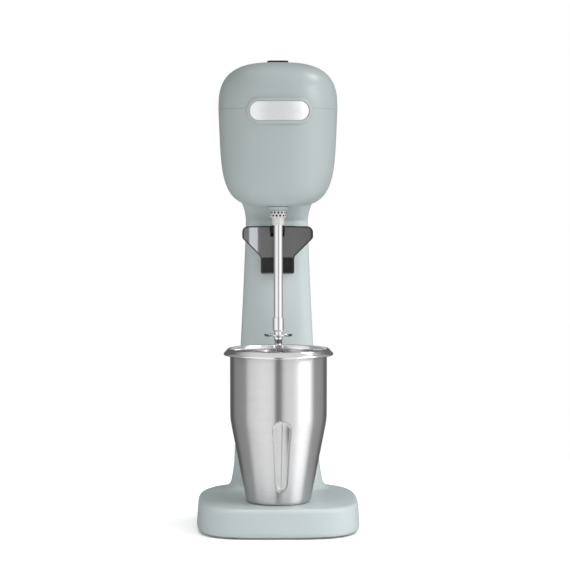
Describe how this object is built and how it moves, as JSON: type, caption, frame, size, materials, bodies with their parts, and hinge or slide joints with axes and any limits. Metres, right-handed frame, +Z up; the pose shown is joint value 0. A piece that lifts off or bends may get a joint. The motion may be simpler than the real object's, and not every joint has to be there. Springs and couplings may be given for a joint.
{
  "type": "milkshake mixer",
  "caption": "Free-standing bar mixer: painted stand and motor head, driven rod with wavy agitator discs over a lift-up steel cup, cup-worked start switch, speed rocker.",
  "frame": {"origin": "on the floor under the middle of the base", "axes": "+Z up, front towards -Y (the cup's side), width along X"},
  "size_m": [0.17, 0.196, 0.488],
  "materials": {
    "painted_shell": "satin pale sage paint",
    "badge_silver": "brushed along its length",
    "gloss_black": "moulded gloss",
    "matte_black": "fine matte",
    "black_rubber": "matte",
    "lead_sleeve": "smooth sleeve",
    "zinc_steel": "zinc plated",
    "terminal_plastic": "moulded",
    "red_plastic": "moulded",
    "brass_parts": "stamped",
    "cast_brackets": "as cast",
    "laminated_iron": "laminated edge",
    "copper_parts": "varnished copper",
    "bearing_steel": "ground",
    "carbon": "pressed carbon",
    "board_green": "lacquered board",
    "capacitor_case": "moulded",
    "fan_plastic": "moulded",
    "polished_steel": "polished",
    "cup_steel": "brushed round, mirror rim"
  },
  "bodies": {
    "stand": {"stand_casting": "painted_shell", "base_plate": "zinc_steel", "base_plate_screws": "zinc_steel", "rubber_feet": "black_rubber", "rear_cover": "painted_shell", "rear_cover_screws": "zinc_steel", "cord_inlet_bush": "black_rubber", "mains_terminal_block": "terminal_plastic", "supply_lead": "lead_sleeve", "control_leads": "lead_sleeve", "head_housing": "painted_shell", "head_cover": "painted_shell", "neck_bolts": "zinc_steel", "cover_clips": "zinc_steel", "clip_rivets": "zinc_steel", "cover_screws": "zinc_steel", "badge_frame": "painted_shell", "badge_plate": "badge_silver", "cup_holder": "gloss_black", "holder_grip_pad": "matte_black", "holder_screws": "zinc_steel", "plunger_spring": "zinc_steel", "microswitch_case": "matte_black", "microswitch_terminals": "brass_parts", "switch_housing": "matte_black", "switch_terminals": "brass_parts", "motor_rubber_mounts": "black_rubber", "lower_motor_bracket": "cast_brackets", "upper_motor_bracket": "cast_brackets", "motor_through_bolts": "zinc_steel", "stator_core": "laminated_iron", "field_coils": "copper_parts", "lower_bearing": "bearing_steel", "upper_bearing": "bearing_steel", "brush_holders": "brass_parts", "carbon_brushes": "carbon", "brush_springs": "zinc_steel", "control_board": "board_green", "board_clips": "terminal_plastic", "suppression_capacitor": "capacitor_case", "spindle_nose_bush": "painted_shell", "shaft_seal": "black_rubber"},
    "spindle": {"motor_shaft": "bearing_steel", "armature_core": "laminated_iron", "armature_windings": "copper_parts", "commutator": "copper_parts", "cooling_fan": "fan_plastic", "spindle_chuck": "polished_steel", "spindle_rod": "polished_steel", "agitator_sleeve": "polished_steel", "agitator_disc_upper": "polished_steel", "agitator_spool": "polished_steel", "agitator_disc_lower": "polished_steel", "agitator_tip_nut": "polished_steel"},
    "cup": {"mixing_cup": "cup_steel"},
    "plunger": {"start_plunger": "matte_black"},
    "switch_lever": {"microswitch_lever": "zinc_steel"},
    "switch_button": {"microswitch_button": "red_plastic"},
    "rocker": {"switch_rocker": "gloss_black"}
  },
  "joints": [
    {"name": "spindle_spin", "type": "hinge", "parent": "stand", "child": "spindle", "pos_m": [0, -0.028, 0.32], "axis": [0, 0, 1], "continuous": true},
    {"name": "cup_lift", "type": "slide", "parent": "stand", "child": "cup", "axis": [0, 0, 1], "range_m": [0, 0.13]},
    {"name": "plunger_press", "type": "slide", "parent": "stand", "child": "plunger", "axis": [0, 0, -1], "range_m": [0, 0.003], "stiffness_N_per_m": 500, "springref_m": -0.001, "deforming": ["plunger_spring"]},
    {"name": "lever_swing", "type": "hinge", "parent": "stand", "child": "switch_lever", "pos_m": [0, 0.0574, 0.2842], "axis": [1, 0, 0], "range_deg": [0, 5.7]},
    {"name": "button_press", "type": "slide", "parent": "stand", "child": "switch_button", "axis": [0, 0, -1], "range_m": [0, 0.0008]},
    {"name": "rocker_tilt", "type": "hinge", "parent": "stand", "child": "rocker", "pos_m": [0, 0.006, 0.4825], "axis": [1, 0, 0], "range_deg": [-12, 12]}
  ],
  "couplings": [
    {"joint": "lever_swing", "follows": "plunger_press", "rad_per_m": 32.895},
    {"joint": "button_press", "follows": "plunger_press", "ratio": 0.2632}
  ]
}
